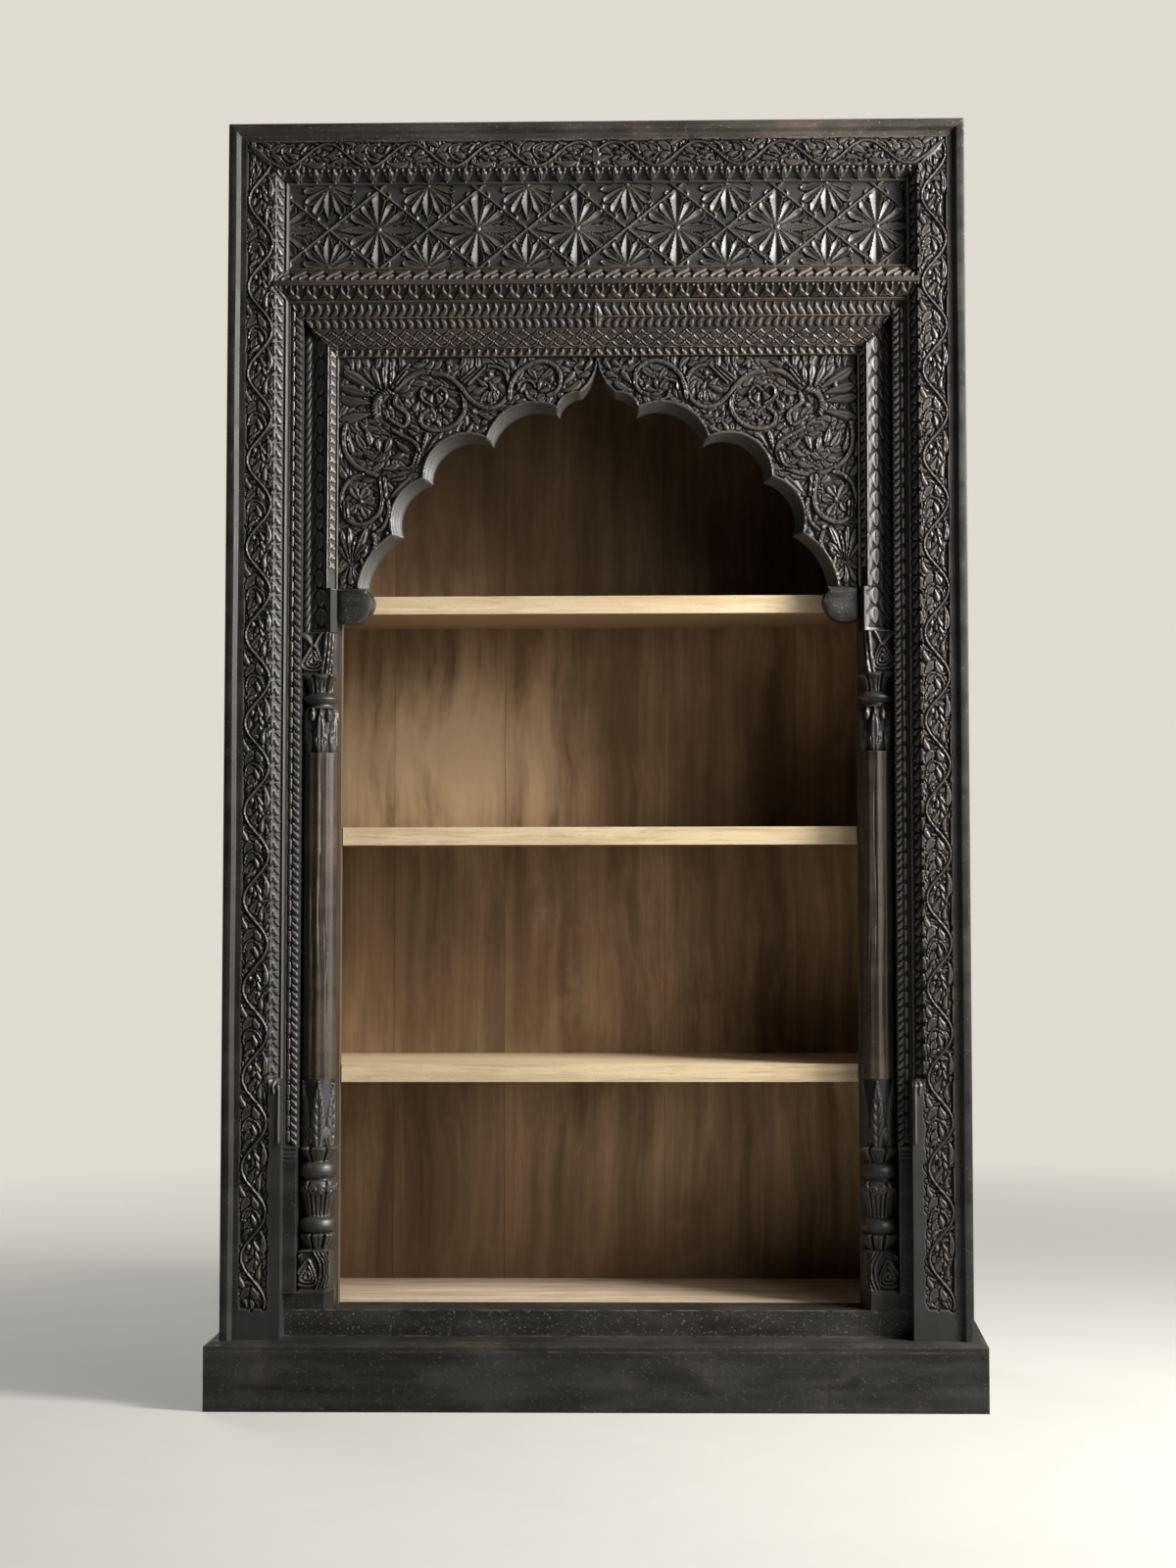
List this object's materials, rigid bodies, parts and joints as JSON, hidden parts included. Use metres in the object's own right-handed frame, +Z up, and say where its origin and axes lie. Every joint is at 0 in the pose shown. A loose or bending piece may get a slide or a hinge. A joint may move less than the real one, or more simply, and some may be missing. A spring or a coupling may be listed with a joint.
{
  "type": "bookcase",
  "caption": "Tall carved wooden bookcase: cusped arch between columns, flower frieze, vine-carved frame, open shelves and a plain plinth; dark outside, pale shelves",
  "frame": {"origin": "middle of the base, on the floor", "axes": "+Z up, the open front faces -Y, +X to the right seen from the front"},
  "size_m": [1.276, 0.42, 2.13],
  "materials": {
    "carved_dark_wood": "ebonised and waxed carving, worn on its edges",
    "plain_dark_wood": "black-brown stain, rubbed and scratched",
    "stained_wood": "brown stain, upright grain",
    "pale_wood": "bare light wood, sanded",
    "hidden_wood": "bare sawn wood",
    "iron": "dull dark iron"
  },
  "bodies": {
    "root": {"back_nails": "iron", "back_plank_1": "stained_wood", "back_plank_2": "stained_wood", "back_plank_3": "stained_wood", "back_plank_4": "stained_wood", "back_plank_5": "stained_wood", "bead_strip_left": "carved_dark_wood", "bead_strip_right": "carved_dark_wood", "column_base_left": "carved_dark_wood", "column_base_right": "carved_dark_wood", "column_capital_left": "carved_dark_wood", "column_capital_right": "carved_dark_wood", "column_pad_left": "plain_dark_wood", "column_pad_right": "plain_dark_wood", "column_shaft_left": "carved_dark_wood", "column_shaft_right": "carved_dark_wood", "floor_bearers": "hidden_wood", "floor_board": "pale_wood", "foot_block_left": "plain_dark_wood", "foot_block_right": "plain_dark_wood", "frieze_panel": "carved_dark_wood", "header_board": "hidden_wood", "liner_left": "plain_dark_wood", "liner_right": "plain_dark_wood", "lintel": "carved_dark_wood", "lower_shelf": "pale_wood", "middle_shelf": "pale_wood", "pendant_left": "carved_dark_wood", "pendant_right": "carved_dark_wood", "plinth_back": "plain_dark_wood", "plinth_front": "plain_dark_wood", "plinth_glue_blocks": "hidden_wood", "plinth_side_left": "plain_dark_wood", "plinth_side_right": "plain_dark_wood", "plinth_top": "plain_dark_wood", "post_left": "carved_dark_wood", "post_right": "carved_dark_wood", "rail_pegs": "hidden_wood", "ridge_rail": "carved_dark_wood", "rim_left": "plain_dark_wood", "rim_right": "plain_dark_wood", "rim_top": "plain_dark_wood", "rope_left": "carved_dark_wood", "rope_right": "carved_dark_wood", "shelf_cleats": "hidden_wood", "side_panel_left": "plain_dark_wood", "side_panel_right": "plain_dark_wood", "sill": "plain_dark_wood", "spandrel_left": "carved_dark_wood", "spandrel_right": "carved_dark_wood", "stile_batten_left": "hidden_wood", "stile_batten_right": "hidden_wood", "stile_left": "carved_dark_wood", "stile_right": "carved_dark_wood", "top_board": "plain_dark_wood", "top_rail": "carved_dark_wood", "upper_shelf": "pale_wood"}
  },
  "joints": []
}
